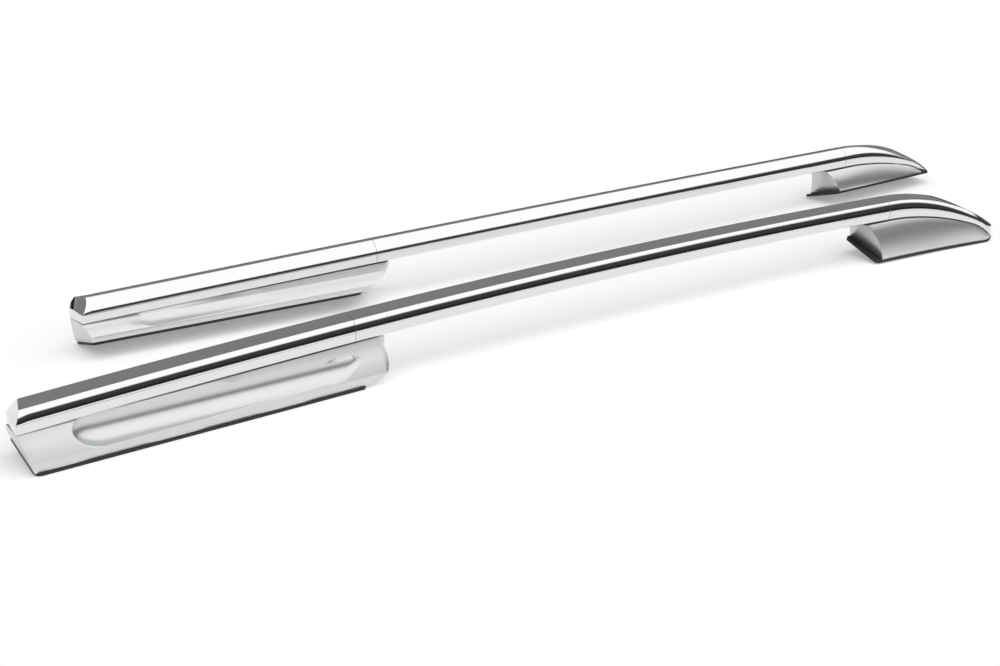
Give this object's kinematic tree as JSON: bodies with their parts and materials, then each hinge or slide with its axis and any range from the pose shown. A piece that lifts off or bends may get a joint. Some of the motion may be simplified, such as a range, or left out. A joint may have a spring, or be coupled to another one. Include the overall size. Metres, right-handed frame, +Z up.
{
  "type": "roof side rail pair",
  "caption": "Bowed side rails for a vehicle roof, with bright bars, raked end covers, scooped rear feet, short swept front feet and black gaskets.",
  "frame": {"origin": "midway between the two rails and midway along the pair, at the level of the gaskets' outer edges", "axes": "+X forward, towards the short front feet; +Y to the left-hand rail; +Z up"},
  "size_m": [2.0076, 0.4012, 0.1071],
  "materials": {
    "bright_bar": "bright anodised",
    "bright_cover": "bright metallic",
    "satin_foot": "satin silver",
    "gasket_rubber": "matte",
    "cast_bracket": "as cast",
    "plated_steel": "zinc plated",
    "spring_steel": "phosphated"
  },
  "bodies": {
    "root": {"right_bar": "bright_bar", "right_rear_end_cover": "bright_cover", "right_front_end_cover": "bright_cover", "right_rear_foot_cover": "satin_foot", "right_front_foot_cover": "satin_foot", "right_rear_gasket": "gasket_rubber", "right_front_gasket": "gasket_rubber", "right_rear_bracket": "cast_bracket", "right_front_bracket": "cast_bracket", "right_threaded_bushes": "plated_steel", "right_tongue_screws": "plated_steel", "right_cover_clips": "spring_steel", "left_bar": "bright_bar", "left_rear_end_cover": "bright_cover", "left_front_end_cover": "bright_cover", "left_rear_foot_cover": "satin_foot", "left_front_foot_cover": "satin_foot", "left_rear_gasket": "gasket_rubber", "left_front_gasket": "gasket_rubber", "left_rear_bracket": "cast_bracket", "left_front_bracket": "cast_bracket", "left_threaded_bushes": "plated_steel", "left_tongue_screws": "plated_steel", "left_cover_clips": "spring_steel"}
  },
  "joints": []
}
